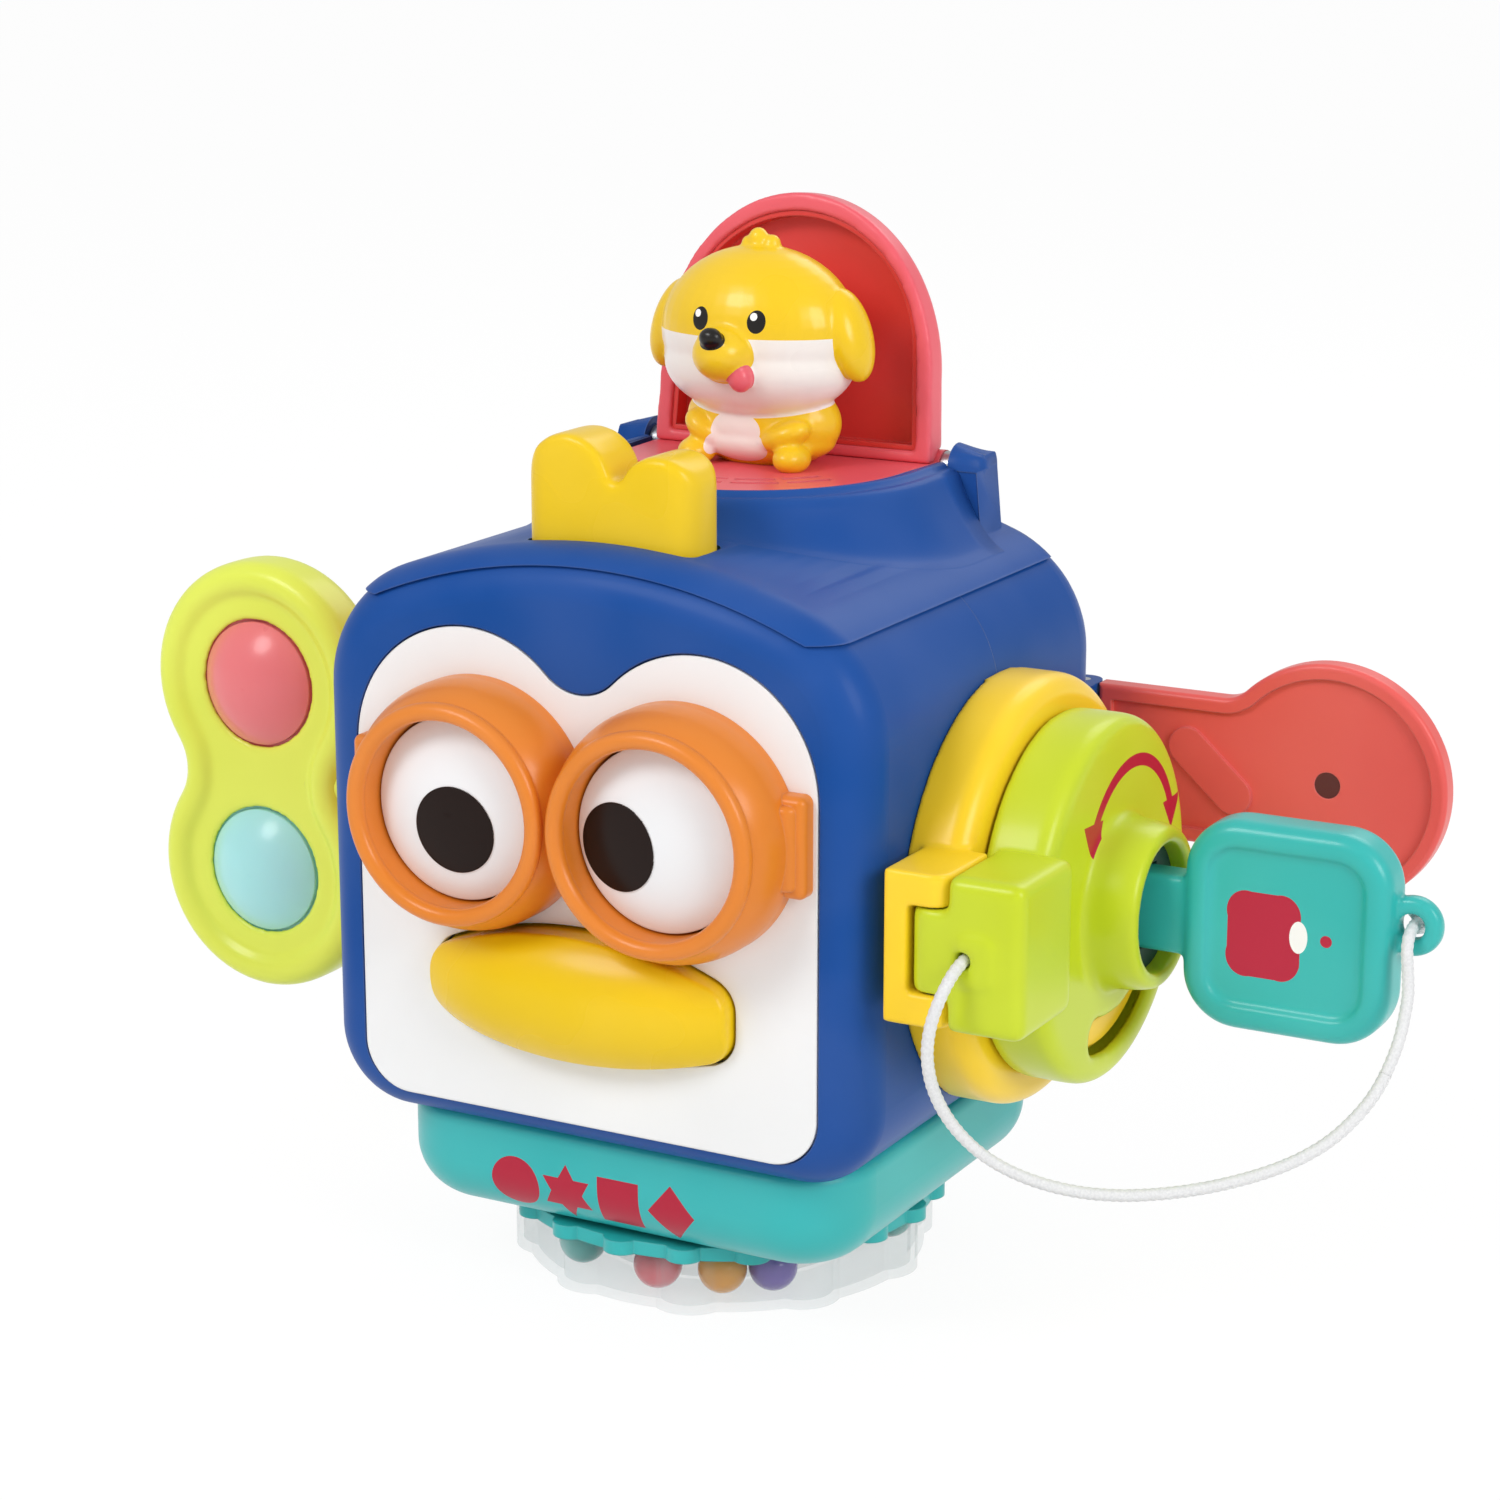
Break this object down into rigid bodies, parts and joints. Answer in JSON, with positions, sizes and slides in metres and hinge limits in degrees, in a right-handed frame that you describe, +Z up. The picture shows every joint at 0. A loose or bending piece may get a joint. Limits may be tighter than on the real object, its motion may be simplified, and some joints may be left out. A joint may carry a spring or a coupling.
{
  "type": "activity cube",
  "caption": "Toddler activity cube: bird-faced box on a spinning bead drum, with pop-up puppy hatch, push button, paddle with push bubbles, lock with corded key, and folding flap",
  "frame": {"origin": "on the floor under the spinning drum, on its axis", "axes": "+X to the right as seen facing the bird's face (towards the lock and key), +Y from the face to the back, +Z up"},
  "size_m": [0.3219, 0.1447, 0.2367],
  "materials": {
    "blue_shell": "satin moulded plastic",
    "face_white": "satin moulded plastic",
    "goggle_orange": "glossy moulded plastic",
    "teal": "satin moulded plastic",
    "lock_yellow": "glossy moulded plastic",
    "panel_red": "satin moulded plastic",
    "steel": "plated",
    "inner_white": "unpolished moulded plastic",
    "rubber_grey": "soft rubber",
    "eye_white": "glossy, pupil printed",
    "yellow": "glossy moulded plastic",
    "hatch_coral": "satin moulded plastic",
    "lime": "glossy moulded plastic",
    "bubble_red": "glossy moulded plastic",
    "bubble_teal": "glossy moulded plastic",
    "cord_white": "braided cord",
    "rotor_dark_teal": "satin moulded plastic",
    "flap_red": "satin moulded plastic",
    "clear": "clear moulded plastic",
    "bead_teal": "glossy",
    "bead_coral": "glossy",
    "bead_amber": "glossy",
    "bead_violet": "glossy"
  },
  "bodies": {
    "root": {"front_shell": "blue_shell", "rear_shell": "blue_shell", "top_cover": "blue_shell", "face_plate": "face_white", "goggle_frame": "goggle_orange", "base_tray": "teal", "lock_base": "lock_yellow", "side_panel": "panel_red", "hatch_pins": "steel", "hatch_spring": "steel", "flap_pin": "steel", "lock_hinge_pin": "steel", "housing_screws": "steel", "base_screws": "steel", "beak_bridge": "inner_white", "squeaker_bellows": "rubber_grey", "button_spring": "steel", "spinner_pivot": "inner_white"},
    "eye_left": {"eye_left": "eye_white", "eye_clip_left": "inner_white"},
    "eye_right": {"eye_right": "eye_white", "eye_clip_right": "inner_white"},
    "beak": {"beak": "yellow"},
    "top_button": {"top_button": "yellow"},
    "hatch": {"hatch_lid": "hatch_coral", "hatch_liner": "panel_red", "hatch_floor": "hatch_coral", "puppy_body": "yellow", "puppy_head": "yellow"},
    "wing": {"wing_front": "lime", "wing_back": "lime", "wing_axle": "lime", "wing_clip": "inner_white"},
    "bubble_top": {"bubble_top": "bubble_red"},
    "bubble_bottom": {"bubble_bottom": "bubble_teal"},
    "lock_door": {"lock_door": "lime", "key_cord": "cord_white"},
    "lock_rotor": {"lock_rotor": "rotor_dark_teal"},
    "key": {"key": "teal", "cord_knot": "cord_white"},
    "rear_flap": {"rear_flap": "flap_red"},
    "spinner": {"spinner_ring": "teal", "spinner_drum": "clear", "beads_teal": "bead_teal", "beads_coral": "bead_coral", "beads_amber": "bead_amber", "beads_violet": "bead_violet"}
  },
  "joints": [
    {"name": "eye_left_spin", "type": "hinge", "parent": "root", "child": "eye_left", "pos_m": [-0.0247, -0.062, 0.116], "axis": [0, -1, 0], "continuous": true},
    {"name": "eye_right_spin", "type": "hinge", "parent": "root", "child": "eye_right", "pos_m": [0.0247, -0.062, 0.116], "axis": [0, -1, 0], "continuous": true},
    {"name": "beak_press", "type": "slide", "parent": "root", "child": "beak", "axis": [0, 1, 0], "range_m": [0, 0.003], "stiffness_N_per_m": 400, "springref_m": -0.002},
    {"name": "button_press", "type": "slide", "parent": "root", "child": "top_button", "axis": [0, 0, -1], "range_m": [0, 0.006], "stiffness_N_per_m": 300, "springref_m": -0.002, "deforming": ["button_spring"]},
    {"name": "hatch_swing", "type": "hinge", "parent": "root", "child": "hatch", "pos_m": [0, 0.037, 0.1775], "axis": [1, 0, 0], "range_deg": [0, 95], "stiffness_Nm_per_rad": 0.02, "springref_deg": -68.75},
    {"name": "wing_spin", "type": "hinge", "parent": "root", "child": "wing", "pos_m": [-0.1, 0, 0.0945], "axis": [1, 0, 0], "continuous": true},
    {"name": "bubble_top_push", "type": "slide", "parent": "wing", "child": "bubble_top", "axis": [0, 1, 0], "range_m": [0, 0.006]},
    {"name": "bubble_bottom_push", "type": "slide", "parent": "wing", "child": "bubble_bottom", "axis": [0, 1, 0], "range_m": [0, 0.006]},
    {"name": "door_open", "type": "hinge", "parent": "root", "child": "lock_door", "pos_m": [0.0801, -0.0574, 0.0979], "axis": [0, 0, -1], "range_deg": [0, 95]},
    {"name": "rotor_turn", "type": "hinge", "parent": "lock_door", "child": "lock_rotor", "pos_m": [0.09, 0, 0.0945], "axis": [1, 0, 0], "range_deg": [-90, 90]},
    {"name": "key_pull", "type": "slide", "parent": "lock_rotor", "child": "key", "axis": [1, 0, 0], "range_m": [0, 0.02]},
    {"name": "flap_fold", "type": "hinge", "parent": "root", "child": "rear_flap", "pos_m": [0.0602, 0.062, 0.1088], "axis": [0, 0, 1], "range_deg": [0, 180]},
    {"name": "spinner_spin", "type": "hinge", "parent": "root", "child": "spinner", "pos_m": [0, 0, 0.013], "axis": [0, 0, 1], "continuous": true}
  ]
}
